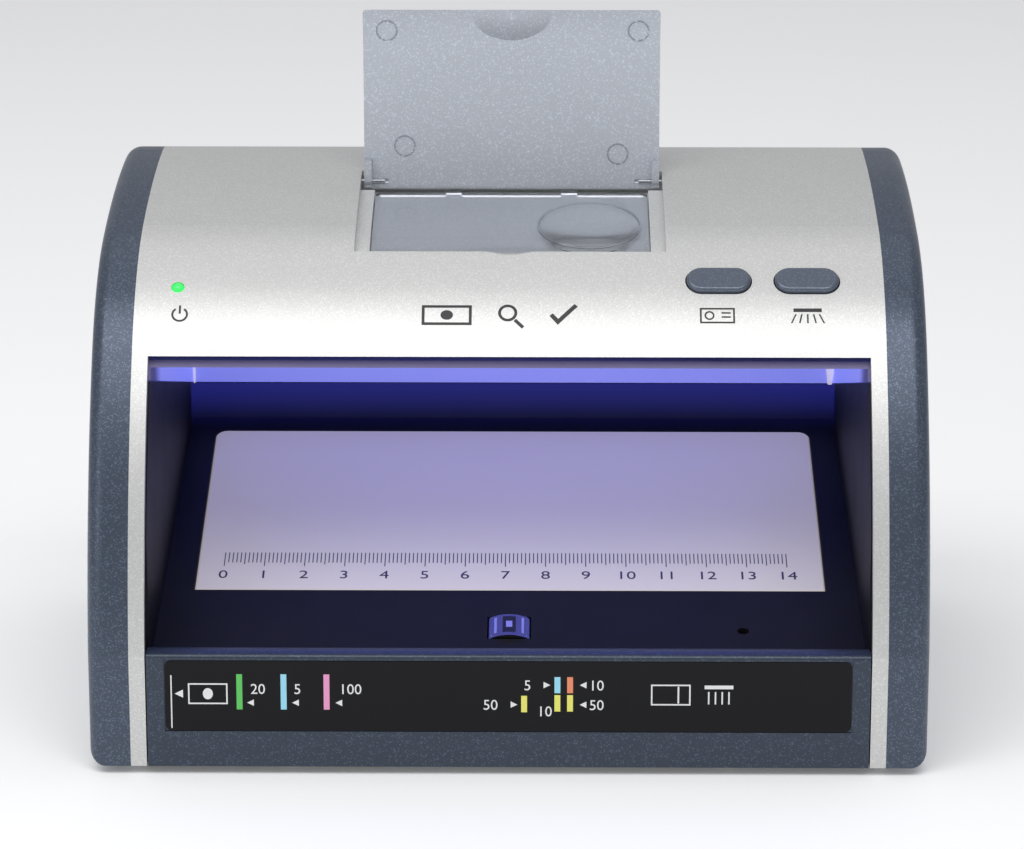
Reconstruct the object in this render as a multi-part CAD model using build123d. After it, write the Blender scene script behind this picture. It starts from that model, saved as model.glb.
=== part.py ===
from build123d import *
import math
import os

# A counterfeit bill detector: a wedge-fronted counter unit whose front opens into a viewing bay with
# ultraviolet lamps above and a back-lit watermark plate in the floor.  Lengths in mm, angles in degrees.
# Modelled with the front face at Y = 0 and the bottom of the casing at Z = 0; placed() moves each
# piece so that the origin is under the middle of the unit, level with the soles of the feet.

# ---- overall sizes
body_width = 200.0
body_depth = 148.0
body_height = 127.6
foot_proud = 2.0

# ---- casing
cap_width = 10.0
cap_wall = 2.5
cap_edge_radius = 4.0
cover_wall = 2.2
fit_gap = 0.3
seat_gap = 0.05
waist_height = 27.5
brow_setback = 25.7
brow_drop = 31.6
shoulder_setback = 58.4
shoulder_drop = 8.3
crest_to_rear = 36.0
rear_break_drop = 34.5
front_radius = 156.0
brow_radius = 57.6
top_radius = 244.0
rear_radius = 34.55

# ---- viewing bay
strip_width = 3.8
opening_drop = 33.0
bay_draft = 1.6
bay_back = 121.0
bay_wall = 1.5
floor_wall = 1.8
floor_angle = 16.0
floor_front_height = 24.15
slope_start = 17.0
rim_front_drop = 39.4
rim_rear_height = 63.5

# ---- lower front panel and its printed label
panel_wall = 2.2
lip_depth = 8.0
lip_height = 28.0
label_width = 163.0
label_height = 17.4
label_base = 9.0
label_thickness = 0.3
label_recess = 0.4
label_corner = 1.5

# ---- watermark plate, its light box and the magnetic head
plate_width = 155.4
plate_length = 76.0
plate_thickness = 3.0
plate_corner = 3.0
plate_gap = 0.2
plate_front = 41.6
ledge_width = 2.5
ledge_thickness = 1.6
light_box_depth = 9.0
light_box_wall = 1.5
board_thickness = 1.6
led_columns = 10
led_rows = 4
led_size = (3.5, 2.8, 1.9)
led_lens_radius = 1.2
head_width = 10.0
head_length = 9.0
head_height = 12.0
head_proud = 1.0
head_setback = 25.6
head_gap_width = 0.5
head_post_x = 15.0
head_post_radius = 2.6
bracket_length = 38.0
bracket_width = 11.0
bracket_thickness = 0.8
sensor_hole_x = 56.8
sensor_hole_setback = 24.5
sensor_hole_radius = 1.4

# ---- lamps
tube_radius = 7.75
tube_cap_radius = 8.0
tube_length = 136.0
tube_cap_length = 8.0
lamp_setbacks = (61.0, 84.0)
lamp_drops = (30.1, 31.6)
holder_thickness = 8.0
holder_reach = 1.5
lamp_pin_offset = 2.4
lamp_pin_radius = 1.1
lamp_pin_reach = 6.5
hood_wall = 1.5
hood_gap = 0.2
hood_roof_drop = 18.6
hood_brow_setback = 29.5
hood_brow_drop = 34.5

# ---- magnifier pocket and lid
recess_width = 75.7
recess_front = 47.7
recess_rear = 93.1
ledge_drop = 2.0
rail_width = 3.6
rail_rear = 84.5
pocket_drop = 5.0
tray_wall = 1.8
card_thickness = 1.8
card_gap = 0.25
card_length = 38.0
card_corner = 2.0
lens_radius = 12.5
lens_clearance = 0.2
lens_x = 19.4
lens_setback = 65.0
lid_gap = 0.7
lid_thickness = 1.7
lid_axis_setback = 90.7
lid_axis_drop = 1.9
lid_swing = 101.0
ear_thickness = 1.9
ear_reach = 5.5
ear_drop = 2.1
pin_radius = 0.6
pin_running_gap = 0.05
pin_inner_end = 32.0
scoop_radius = 10.0
scoop_depth = 1.0
notch_reach = 3.6
notch_depth = 1.8

# ---- buttons and indicator
button_length = 15.5
button_width = 7.4
button_proud = 1.2
button_travel = 0.9
button_gap = 0.3
button_setback = 39.1
button_xs = {"wm_button": 50.3, "uv_button": 71.5}
button_flange = 0.9
flange_thickness = 0.8
button_board_drop = 8.2
button_board_length = 11.0
switch_size = 6.0
switch_height = 3.5
stem_radius = 1.6
stem_seat = 0.4
stem_spare = 0.7
stem_gap = 0.2
indicator_x = -79.8
indicator_setback = 37.3
indicator_radius = 1.5

# ---- base, boards and fixings
base_plate = 2.6
base_rim = 9.0
base_rim_wall = 1.8
screw_radius = 1.35
screw_head_radius = 2.6
screw_head_height = 1.5
screw_gap = 0.1
post_radius = 3.5
foot_radius = 7.0
foot_recess = 1.0
foot_x = 68.0
foot_inset = 18.0
main_board_half_width = 74.0
main_board_front = 66.0
main_board_rear_gap = 8.0
standoff_height = 3.8
jack_x = 56.0
jack_size = (9.0, 14.0, 11.0)
jack_bore_radius = 3.1
jack_pin_radius = 1.0
jack_hole_gap = 1.6
lead_radius = 1.2
vent_count = 9
vent_pitch = 5.0
vent_width = 2.4
vent_height = 24.0
vent_base = 62.0

# ---- derived places
half_width = body_width / 2
cover_half = half_width - cap_width
inner_half = cover_half - cover_wall
opening_half = cover_half - strip_width
bay_half = opening_half - 0.2
opening_height = body_height - opening_drop
floor_rise = math.tan(math.radians(floor_angle))
far = 400.0
upper = (body_height / 2, far)
lamp_heights = [body_height - drop for drop in lamp_drops]
lens_crown = pocket_drop - card_thickness - lid_thickness - lens_clearance


def arc_centre(start, end, radius):
    """Centre of the outward-bulging arc that runs clockwise from start to end."""
    (y0, z0), (y1, z1) = start, end
    chord = math.hypot(y1 - y0, z1 - z0)
    rise = math.sqrt(radius**2 - (chord / 2) ** 2)
    return (y0 + y1) / 2 + rise * (z1 - z0) / chord, (z0 + z1) / 2 - rise * (y1 - y0) / chord


waist = (0.0, waist_height)
brow = (brow_setback, body_height - brow_drop)
shoulder = (shoulder_setback, body_height - shoulder_drop)
crest = (body_depth - crest_to_rear, body_height)
rear_break = (body_depth, body_height - rear_break_drop)
outline_arcs = [
    (waist, brow, front_radius),
    (brow, shoulder, brow_radius),
    (shoulder, crest, top_radius),
    (crest, rear_break, rear_radius),
]


def surface_at(y):
    """Height of the top of the casing at depth y, and its slope there in degrees."""
    for start, end, radius in outline_arcs:
        if start[0] <= y <= end[0]:
            centre_y, centre_z = arc_centre(start, end, radius)
            height = math.sqrt(radius**2 - (y - centre_y) ** 2)
            return centre_z + height, math.degrees(math.atan2(centre_y - y, height))
    return body_height, 0.0


def floor_height(y):
    """Height of the bay floor at depth y."""
    return floor_front_height + max(0.0, y - slope_start) * floor_rise


def side_outline(inset=0.0):
    """The casing seen from its side, drawn in from its edge by inset."""
    with BuildSketch(Plane.YZ) as drawn:
        with BuildLine():
            Line((0, 0), waist)
            for start, end, radius in outline_arcs:
                centre_y, centre_z = arc_centre(start, end, radius)
                middle = ((start[0] + end[0]) / 2 - centre_y, (start[1] + end[1]) / 2 - centre_z)
                scale = radius / math.hypot(*middle)
                ThreePointArc(start, (centre_y + middle[0] * scale, centre_z + middle[1] * scale), end)
            Line(rear_break, (body_depth, 0))
            Line((body_depth, 0), (0, 0))
        make_face()
        if inset:
            offset(amount=-inset, kind=Kind.INTERSECTION, mode=Mode.REPLACE)
    return drawn.sketch


def across(face, x0, x1):
    """A side-view face made solid from x0 to x1."""
    return Pos(x0, 0, 0) * extrude(face, amount=x1 - x0, dir=(1, 0, 0))


def side_polygon(points):
    """A side-view polygon of (depth, height) corners."""
    return make_face(Plane.YZ * Polyline(*points, close=True))


def block(x, y, z):
    """A box given by its ranges along the three axes."""
    size = [high - low for low, high in (x, y, z)]
    middle = [(high + low) / 2 for low, high in (x, y, z)]
    return Pos(*middle) * Box(*size)


def upright(x, y, z0, z1, radius):
    """A round post or hole standing along Z."""
    return Pos(x, y, (z0 + z1) / 2) * Cylinder(radius, z1 - z0)


def crosswise(x0, x1, y, z, radius):
    """A round bar or hole lying along X."""
    return Pos((x0 + x1) / 2, y, z) * Rot(0, 90, 0) * Cylinder(radius, abs(x1 - x0))


def on_surface(x, y, sink=0.0):
    """A place on the top surface, turned so that its own Z points straight out of the casing."""
    height, slope = surface_at(y)
    return Pos(x, y, height) * Rot(slope, 0, 0) * Pos(0, 0, -sink)


def dish(radius, depth):
    """A ball placed so that it cuts a round dish of the given radius and depth."""
    ball = radius**2 / (2 * depth) + depth / 2
    return Pos(0, 0, ball - depth) * Sphere(ball)


def on_floor(x, y):
    """A place on the sloping part of the bay floor, with its own Z square to the floor."""
    return Pos(x, y, floor_height(y)) * Rot(floor_angle, 0, 0)


def pill(length, width, height):
    """A bar with round ends, standing on its own origin."""
    return extrude(SlotOverall(length, width), height)


def screw(length, radius=screw_radius):
    """A cross-head screw, its head on top and its shank pointing down from the origin."""
    head = Cylinder(screw_head_radius, screw_head_height, align=(Align.CENTER, Align.CENTER, Align.MIN))
    head = fillet(head.edges().sort_by(Axis.Z)[-1], 0.6)
    cross = Box(2.6, 0.6, 0.8) + Box(0.6, 2.6, 0.8)
    shank = Cylinder(radius, length, align=(Align.CENTER, Align.CENTER, Align.MAX))
    return head + shank - Pos(0, 0, screw_head_height) * cross


def tube(points, radii):
    """A round lead along straight runs joined by arcs."""
    route = FilletPolyline(*points, radius=radii)
    return sweep(Plane(route @ 0, z_dir=route % 0) * Circle(lead_radius), route)


def group(shapes):
    """Like pieces kept as separate solids under one name."""
    return Compound([solid for shape in shapes for solid in shape.solids()])


def deep(inset):
    """Everything inside the casing's outline drawn in by inset."""
    return across(side_outline(inset), -far, far)


# ---- fixing points
cap_bosses = [
    (28.0, 12.0),
    (body_depth - 16.0, 13.0),
    (body_depth - 16.0, body_height - 36.0),
    (100.0, body_height - 12.6),
]
cover_posts = [(side * (inner_half - 3.2), 16.0) for side in (-1, 1)]
cover_posts += [(side * (inner_half - 8.0), body_depth - 5.2) for side in (-1, 1)]
panel_posts = [(side * 52.0, 7.0) for side in (-1, 1)]
tub_posts = [(side * (bay_half - 3.3), y) for side in (-1, 1) for y in (40.0, 108.0)]
hood_posts = [(side * 50.0, y) for side in (-1, 1) for y in (72.0, 110.0)]
standoffs = [(side * 58.0, y) for side in (-1, 1) for y in (72.0, 118.0)]
feet = [(side * foot_x, y) for side in (-1, 1) for y in (foot_inset, body_depth - foot_inset)]
hood_roof = body_height - hood_roof_drop
hood_roof_line = [
    (60.0, hood_roof),
    (50.0, hood_roof - 6.5),
    (40.0, hood_roof - 13.5),
    (hood_brow_setback, body_height - hood_brow_drop),
]
board_top = base_plate + standoff_height + board_thickness
main_board_rear = body_depth - cover_wall - main_board_rear_gap
lid_axis_height = surface_at(lid_axis_setback)[0] - lid_axis_drop


def top_cover():
    """Silver wrap-over shell with the bay's frame, the magnifier tray, vents and fixing posts."""
    shell = across(side_outline(), -cover_half, cover_half)
    hollow = across(side_outline(cover_wall), -inner_half, inner_half)
    shell -= hollow + block((-inner_half, inner_half), (cover_wall, body_depth - cover_wall), (-1, 5))
    shell -= block((-opening_half, opening_half), (-1, brow_setback + 4), (-1, opening_height))
    tray_half = recess_width / 2 + tray_wall
    tray = block((-tray_half, tray_half), (recess_front - tray_wall, recess_rear + tray_wall), upper)
    shell += tray & (deep(0) - deep(pocket_drop + tray_wall))
    recess = block((-recess_width / 2, recess_width / 2), (recess_front, recess_rear), upper)
    shell -= recess - deep(ledge_drop)
    pocket_half = recess_width / 2 - rail_width
    pocket = block((-pocket_half, pocket_half), (recess_front, recess_rear), upper)
    pocket += block((-recess_width / 2, recess_width / 2), (rail_rear, recess_rear), upper)
    shell -= pocket - deep(pocket_drop)
    for side in (-1, 1):
        bore = crosswise(side * recess_width / 2, side * (tray_half + 0.1), lid_axis_setback,
                         lid_axis_height, pin_radius + pin_running_gap)
        shell -= bore
    notch_centre = recess_front + scoop_radius - notch_reach
    notch = on_surface(0, notch_centre) * dish(scoop_radius, notch_depth)
    shell -= notch & block((-far, far), (0, recess_front + 1), upper)
    for x in button_xs.values():
        hole = pill(button_length + 2 * button_gap, button_width + 2 * button_gap, 4 * cover_wall)
        shell -= on_surface(x, button_setback, 2 * cover_wall) * hole
    shell -= on_surface(indicator_x, indicator_setback) * Cylinder(indicator_radius + 0.1, 4 * cover_wall)
    for x, y in cover_posts:
        post = upright(x, y, base_plate + 0.1, 22.0, post_radius)
        inside = block((-cover_half, cover_half), (0, body_depth - cover_wall / 2), (0, far))
        shell += post & inside
        shell -= upright(x, y, 0, 16.0, screw_radius + screw_gap)
    for x, y in hood_posts:
        shell += upright(x, y, hood_roof + 0.1, body_height, post_radius) & deep(cover_wall / 2)
        shell -= upright(x, y, hood_roof - 1, hood_roof + 6.0, screw_radius + screw_gap)
    for side in (-1, 1):
        for y, z in cap_bosses:
            shell -= crosswise(side * (inner_half - 1), side * (cover_half + 1), y, z, screw_radius + 0.3)
    for index in range(vent_count):
        x = (index - (vent_count - 1) / 2) * vent_pitch
        shell -= block((x - vent_width / 2, x + vent_width / 2), (body_depth - 2 * cover_wall, body_depth + 1),
                       (vent_base, vent_base + vent_height))
    jack_z = board_top + jack_size[2] / 2 + 1.0
    jack_hole = Cylinder(jack_bore_radius + jack_hole_gap, 4 * cover_wall)
    return shell - Pos(jack_x, body_depth, jack_z) * Rot(90, 0, 0) * jack_hole


def side_cap(side):
    """Dark side cover: a hollow shell with a rounded rim and the bosses that its screws enter."""
    cap = across(side_outline(), cover_half, half_width)
    cap = fillet(cap.faces().sort_by(Axis.X)[-1].edges(), cap_edge_radius)
    cap -= across(side_outline(cap_wall), cover_half - 1, half_width - cap_wall)
    for y, z in cap_bosses:
        cap += crosswise(cover_half, half_width - cap_wall, y, z, post_radius)
        cap -= crosswise(cover_half - 1, half_width - 2 * cap_wall + 1, y, z, screw_radius + screw_gap)
    return cap if side > 0 else mirror(cap, about=Plane.YZ)


def cap_screws():
    """Screws that hold both side covers, driven outwards from inside the cover."""
    placed_screws = []
    for side in (-1, 1):
        for y, z in cap_bosses:
            turn = Rot(0, -90 * side, 0)
            placed_screws.append(Pos(side * (inner_half - 0.05), y, z) * turn * screw(6.0))
    return group(placed_screws)


def base_pan():
    """Bottom pan with a low rim, board standoffs, foot recesses and countersunk screw holes."""
    inset = cover_wall + fit_gap
    half = inner_half - fit_gap
    pan = across(side_outline(inset), -half, half) & block((-far, far), (0, far), (0, base_rim))
    pan += block((-half, half), (inset, body_depth - inset), (0, inset))
    rim = base_rim_wall
    pan -= block((-half + rim, half - rim), (-1, body_depth - inset - rim), (base_plate, far))
    pan -= block((-far, far), (-1, lip_depth + 2), (base_plate, far))
    for x, y in cover_posts + panel_posts + tub_posts:
        pan -= upright(x, y, base_plate, far, post_radius + 0.4)
        pan -= upright(x, y, -1, far, screw_radius + 0.3)
        pan -= upright(x, y, -1, screw_head_height + 0.1, screw_head_radius + 0.3)
    for x, y in feet:
        pan -= upright(x, y, -1, foot_recess, foot_radius + 0.1)
    jack_room = jack_size[0] / 2 + fit_gap
    pan -= block((jack_x - jack_room, jack_x + jack_room), (main_board_rear, body_depth),
                 (board_top - fit_gap, far))
    for x, y in standoffs:
        pan += upright(x, y, base_plate, base_plate + standoff_height, post_radius)
        pan -= upright(x, y, 1.0, far, screw_radius + screw_gap)
    return pan


def base_screws():
    """Screws driven up through the base into the cover, the front panel and the tub."""
    lengths = [(point, 12.0) for point in cover_posts + tub_posts] + [(point, 8.0) for point in panel_posts]
    level = screw_head_height + 0.05
    return group([Pos(x, y, level) * Rot(180, 0, 0) * screw(length) for (x, y), length in lengths])


def rubber_feet():
    """Four round rubber feet let into the base."""
    made = []
    for x, y in feet:
        foot = upright(x, y, -foot_proud, foot_recess - 0.05, foot_radius)
        made.append(chamfer(foot.edges().sort_by(Axis.Z)[0], 0.8))
    return group(made)


def front_panel():
    """Lower front panel with a shelf-like lip, a shallow label recess and two screw posts."""
    half = opening_half - fit_gap
    edge = 1.1
    with BuildSketch(Plane.YZ) as drawn:
        with BuildLine():
            Polyline((panel_wall, 0), (0, 0), (0, lip_height - edge))
            ThreePointArc((0, lip_height - edge), (edge * 0.293, lip_height - edge * 0.293), (edge, lip_height))
            ThreePointArc((edge, lip_height), (lip_depth / 2, lip_height + 0.15),
                          (lip_depth - 1.5, lip_height - 0.4))
            ThreePointArc((lip_depth - 1.5, lip_height - 0.4), (lip_depth - 0.4, lip_height - 0.9),
                          (lip_depth, lip_height - 2.0))
            Polyline((lip_depth, lip_height - 2.0), (lip_depth, floor_front_height - 1),
                     (lip_depth - 1.6, floor_front_height - 1), (lip_depth - 1.6, lip_height - panel_wall),
                     (panel_wall, lip_height - panel_wall), (panel_wall, 0))
        make_face()
    panel = across(drawn.sketch, -half, half)
    recess = block((-label_width / 2 - 0.2, label_width / 2 + 0.2), (-1, label_recess),
                   (label_base - 0.2, label_base + label_height + 0.2))
    panel -= recess
    for x, y in panel_posts:
        panel += upright(x, y, base_plate + 0.1, 14.0, post_radius) & block((-far, far), (1, far), (0, far))
        panel += block((x - 1, x + 1), (1, y), (base_plate + 0.1, 14.0))
        panel -= upright(x, y, 0, 12.0, screw_radius + screw_gap)
    return panel


def front_label():
    """Printed label that lies in the front panel's recess."""
    face = Plane.XZ * RectangleRounded(label_width, label_height, label_corner)
    label = extrude(face, label_thickness)
    return Pos(0, label_recess, label_base + label_height / 2) * label


def bay_plan(grow):
    """The bay in plan, wider at the front than at the back, grown by a wall."""
    back_half = bay_half - bay_draft
    corners = [(-bay_half - grow, 0), (bay_half + grow, 0), (back_half + grow, bay_back + grow),
               (-back_half - grow, bay_back + grow)]
    return extrude(make_face(Polyline(*corners, close=True)), far)


def rim_height(y):
    """Height of the line where the tub ends and the lamp hood begins."""
    front = body_height - rim_front_drop
    return front - (y - brow_setback) * (front - rim_rear_height) / (bay_back - brow_setback)


def bay_tub():
    """Black tub: sloping floor with the plate's window, side walls and a low back wall."""
    start = lip_depth + fit_gap
    end = bay_back + bay_wall
    under = floor_wall / math.cos(math.radians(floor_angle))
    floor_line = [(start, floor_front_height), (slope_start, floor_front_height), (end, floor_height(end))]
    top_line = [(end, rim_height(end)), (start, rim_height(start))]
    outer = side_polygon([(y, z - under) for y, z in floor_line] + top_line)
    inner = side_polygon(floor_line[:2] + [(end + 9, floor_height(end + 9)), (end + 9, far), (0, far),
                                           (0, floor_front_height)])
    tub = across(outer, -far, far) & bay_plan(bay_wall)
    tub -= across(inner, -far, far) & bay_plan(0)
    tub &= deep(cover_wall + fit_gap)
    middle = on_floor(0, plate_front) * Pos(0, plate_length / 2, 0)
    seat = plate_thickness + ledge_thickness
    frame_width, frame_length = plate_width + 2 * floor_wall, plate_length + 2 * floor_wall
    tub += middle * Pos(0, 0, -seat / 2) * Box(frame_width, frame_length, seat)
    window = Box(plate_width + 2 * plate_gap, plate_length + 2 * plate_gap, 2 * plate_thickness + 2)
    window = fillet(window.edges().filter_by(Axis.Z).group_by(Axis.Y)[-1], plate_corner + plate_gap)
    tub -= middle * Pos(0, 0, 1) * window
    tub -= middle * Box(plate_width - 2 * ledge_width, plate_length - 2 * ledge_width, 4 * seat)
    tub -= on_floor(0, head_setback) * Box(head_width + 0.6, head_length + 0.6, 4 * floor_wall)
    tub -= on_floor(sensor_hole_x, sensor_hole_setback) * Cylinder(sensor_hole_radius, 4 * floor_wall)
    bodies = across(outer, -far, far)
    for x, y in tub_posts:
        under_floor = side_polygon([(0, 0), (body_depth, 0), (body_depth, floor_height(body_depth) - 1),
                                    (slope_start, floor_front_height - 1), (0, floor_front_height - 1)])
        tub += upright(x, y, base_plate + 0.1, far, post_radius) & across(under_floor, -far, far)
        tub -= upright(x, y, 0, 16.0, screw_radius + screw_gap)
    for side in (-1, 1):
        middle = Pos(0, 0, -head_height / 2 - 1)
        post = on_floor(side * head_post_x, head_setback) * middle * Cylinder(head_post_radius, head_height)
        tub += post & bodies + on_floor(0, head_setback) * Pos(0, 0, -6.05) * Box(60, 20, 9.9)
        tub -= on_floor(side * head_post_x, head_setback) * Pos(0, 0, -8.0) * Cylinder(1.0 + screw_gap, 8.0)
    return tub


def watermark_plate():
    """Translucent white plate that lies flush in the floor's window."""
    plate = Box(plate_width, plate_length, plate_thickness, align=(Align.CENTER, Align.MIN, Align.MAX))
    plate = fillet(plate.edges().filter_by(Axis.Z).group_by(Axis.Y)[-1], plate_corner)
    plate = chamfer(plate.faces().sort_by(Axis.Z)[-1].edges(), 0.3)
    return on_floor(0, plate_front) * plate


def under_plate(depth):
    """Place square to the floor, below the middle of the plate by depth."""
    return on_floor(0, plate_front) * Pos(0, plate_length / 2, -depth)


light_box_top = plate_thickness + ledge_thickness + 0.1
light_box_bottom = light_box_top + light_box_depth


def light_box():
    """White open-topped tray that carries the backlight board under the plate."""
    width, length = plate_width - 2, plate_length - 2
    box = Box(width, length, light_box_depth, align=(Align.CENTER, Align.CENTER, Align.MIN))
    inside = Box(width - 2 * light_box_wall, length - 2 * light_box_wall, light_box_depth,
                 align=(Align.CENTER, Align.CENTER, Align.MIN))
    box -= Pos(0, 0, light_box_wall) * inside
    return under_plate(light_box_bottom) * box


def backlight_board():
    """Board on the bottom of the light box."""
    board = Box(plate_width - 8, plate_length - 8, board_thickness,
                align=(Align.CENTER, Align.CENTER, Align.MIN))
    return under_plate(light_box_bottom - light_box_wall - seat_gap) * board


def backlight_leds():
    """White surface-mount lamps in rows on the backlight board."""
    made = []
    level = light_box_bottom - light_box_wall - board_thickness - 0.1
    for row in range(led_rows):
        for column in range(led_columns):
            x = (column + 0.5 - led_columns / 2) * (plate_width - 14) / led_columns
            y = (row + 0.5 - led_rows / 2) * (plate_length - 12) / led_rows
            led = Box(*led_size, align=(Align.CENTER, Align.CENTER, Align.MIN))
            led -= Pos(0, 0, led_size[2]) * Cylinder(led_lens_radius, 0.6)
            made.append(under_plate(level) * Pos(x, y, 0) * led)
    return group(made)


def magnetic_head():
    """Chromed read head with a crowned face and a sensing gap across its middle."""
    head = Box(head_width, head_length, head_height, align=(Align.CENTER, Align.CENTER, Align.MAX))
    crown = Pos(0, 0, -head_width) * Rot(90, 0, 0) * Cylinder(head_width, 2 * head_length)
    head = head & crown
    head -= Box(head_gap_width, head_length - 3, 1.6)
    return on_floor(0, head_setback) * Pos(0, 0, head_proud) * head


def head_bracket():
    """Spring-steel strip that carries the head, screwed to two posts under the floor."""
    level = head_height - head_proud
    strip = Box(bracket_length, bracket_width, bracket_thickness, align=(Align.CENTER, Align.CENTER, Align.MAX))
    for side in (-1, 1):
        strip -= Pos(side * head_post_x, 0, 0) * Cylinder(1.3, 4)
        cheek = Box(bracket_thickness, bracket_width, 4, align=(Align.CENTER, Align.CENTER, Align.MIN))
        strip += Pos(side * (head_width / 2 + 0.5), 0, -bracket_thickness / 2) * cheek
    return on_floor(0, head_setback) * Pos(0, 0, -level - seat_gap) * strip


def head_screws():
    """Two small screws that hold the head bracket."""
    made = []
    for side in (-1, 1):
        under = Pos(0, 0, -head_height + head_proud - bracket_thickness - 2 * seat_gap)
        made.append(on_floor(side * head_post_x, head_setback) * under * Rot(180, 0, 0) * screw(5.0, 1.0))
    return group(made)


def under_roof(drop):
    """Everything below the hood's roof, lowered by drop."""
    lean = 0.35 * drop
    line = [(y + lean, z - drop) for y, z in hood_roof_line]
    level = hood_roof - drop
    corners = [(0, 0), (body_depth, 0), (body_depth, level)] + line + [(0, line[-1][1])]
    return across(side_polygon(corners), -far, far)


def lamp_hood():
    """Pale hood over the lamps: a roof, a back and two side skirts, open below."""
    end = bay_back + bay_wall
    start = brow_setback - 2
    rim = [(y, rim_height(y) + hood_gap) for y in (start, end)]
    roof = [(end, hood_roof)] + hood_roof_line
    outer = across(side_polygon(rim + roof + [(start, roof[-1][1])]), -far, far) & bay_plan(bay_wall)
    hood = outer - (under_roof(hood_wall) & bay_plan(0))
    hood &= deep(cover_wall + fit_gap)
    for x, y in hood_posts:
        hood -= upright(x, y, hood_roof - 5, far, screw_radius + 0.3)
    for side in (-1, 1):
        room = lead_radius + 0.8
        hood -= block((side * lamp_lead_x - room, side * lamp_lead_x + room), (bay_back - 2, end + 1),
                      (lamp_lead_height - 3 * room, lamp_lead_height + room))
    return hood


holder_inner = tube_length / 2 + 0.2
lamp_lead_x = holder_inner + holder_thickness / 2
lamp_lead_height = body_height - 30.0


def lamp_holder(side):
    """Socket block for one end of both lamps, hung under the hood's roof."""
    top = hood_roof - hood_wall - 0.1
    front = lamp_setbacks[0] - tube_radius - holder_reach
    rear = lamp_setbacks[1] + tube_radius + holder_reach
    x0, x1 = sorted((side * holder_inner, side * (holder_inner + holder_thickness)))
    holder = block((x0, x1), (front + 6, rear), (top - 3, top))
    for y, z in zip(lamp_setbacks, lamp_heights):
        holder += block((x0, x1), (y - 6, y + 6), (z - 5, top))
        for step in (-1, 1):
            holder -= crosswise(side * (holder_inner - 1), side * (holder_inner + lamp_pin_reach + 0.5),
                                y, z + step * lamp_pin_offset, lamp_pin_radius + 0.2)
    return holder & under_roof(hood_wall + 0.1)


def lamp_tube(index):
    """Glass tube of one ultraviolet lamp."""
    half = tube_length / 2 - tube_cap_length + 1.0
    return crosswise(-half, half, lamp_setbacks[index], lamp_heights[index], tube_radius)


def tube_end_caps():
    """Metal end caps of both lamps with their pairs of pins."""
    made = []
    for y, z in zip(lamp_setbacks, lamp_heights):
        for side in (-1, 1):
            outer, inner = side * tube_length / 2, side * (tube_length / 2 - tube_cap_length)
            cap = crosswise(inner, outer, y, z, tube_cap_radius)
            cap -= crosswise(inner - side, inner + side * 1.05, y, z, tube_radius + 0.05)
            for step in (-1, 1):
                cap += crosswise(outer - side, outer + side * lamp_pin_reach, y, z + step * lamp_pin_offset,
                                 lamp_pin_radius)
            made.append(cap)
    return group(made)


def hood_screws():
    """Screws that hang the hood from the cover's posts."""
    level = hood_roof - hood_wall - 0.05
    return group([Pos(x, y, level) * Rot(180, 0, 0) * screw(6.5) for x, y in hood_posts])


def board_screws():
    """Screws that hold the main board to the base."""
    return group([Pos(x, y, board_top + seat_gap) * screw(4.5) for x, y in standoffs])


def main_board():
    """Circuit board with its screw holes."""
    half = main_board_half_width
    board = block((-half, half), (main_board_front, main_board_rear),
                  (board_top - board_thickness + seat_gap, board_top))
    for x, y in standoffs:
        board -= upright(x, y, 0, far, screw_radius + 0.3)
    return board


def lamp_transformer():
    """Ferrite transformer that steps the supply up for the lamps."""
    core = Box(20, 6, 17, align=(Align.CENTER, Align.CENTER, Align.MIN))
    bobbin = Box(13, 15, 12, align=(Align.CENTER, Align.CENTER, Align.MIN))
    base = Box(18, 17, 2.5, align=(Align.CENTER, Align.CENTER, Align.MIN))
    return Pos(-34, 127, board_top + seat_gap) * (base + Pos(0, 0, 1) * core + Pos(0, 0, 2.5) * bobbin)


def capacitors():
    """Electrolytic capacitors beside the transformer and at the supply input."""
    made = []
    for x, y, radius, height in ((-14, 128, 4.0, 13.0), (-4, 128, 4.0, 13.0), (38, 128, 5.0, 17.0)):
        can = upright(x, y, board_top + seat_gap, board_top + height, radius)
        made.append(fillet(can.edges().sort_by(Axis.Z)[-1], 0.8))
    return group(made)


def buzzer():
    """Round sounder that beeps when the head reads magnetic ink."""
    can = upright(14, 127, board_top + seat_gap, board_top + 8.5, 6.0)
    can = fillet(can.edges().sort_by(Axis.Z)[-1], 0.8)
    return can - upright(14, 127, board_top + 6.0, far, 1.0)


def control_chips():
    """Amplifier and control chips on the main board."""
    made = []
    chips = ((-20, 84, 8.0, 18.0), (6, 84, 8.0, 18.0), (34, 88, 5.0, 6.0), (-44, 100, 5.0, 6.0))
    for x, y, width, length in chips:
        body = Box(width - 2, length, 2.4, align=(Align.CENTER, Align.CENTER, Align.MIN))
        legs = Box(width, length - 1.5, 0.8, align=(Align.CENTER, Align.CENTER, Align.MIN))
        made.append(Pos(x, y, board_top + seat_gap) * (Pos(0, 0, 0.4) * body + legs))
    return group(made)


connector_height = 6.0
lead_rise = bay_back + bay_wall + 3.6
lead_start = board_top + connector_height + 0.15
connector_places = {
    "left_lamp": (-lamp_lead_x, lead_rise),
    "right_lamp": (lamp_lead_x, lead_rise),
    "backlight": (30.0, 106.0),
    "head": (0.0, 72.0),
    "button": (62.0, lead_rise),
    "indicator": (-62.0, lead_rise),
}


def connectors():
    """White plug housings where the leads join the main board."""
    made = []
    for x, y in connector_places.values():
        housing = Box(7.0, 5.8, connector_height, align=(Align.CENTER, Align.CENTER, Align.MIN))
        made.append(Pos(x, y, board_top + seat_gap) * chamfer(housing.edges().filter_by(Axis.Z), 0.5))
    return group(made)


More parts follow.
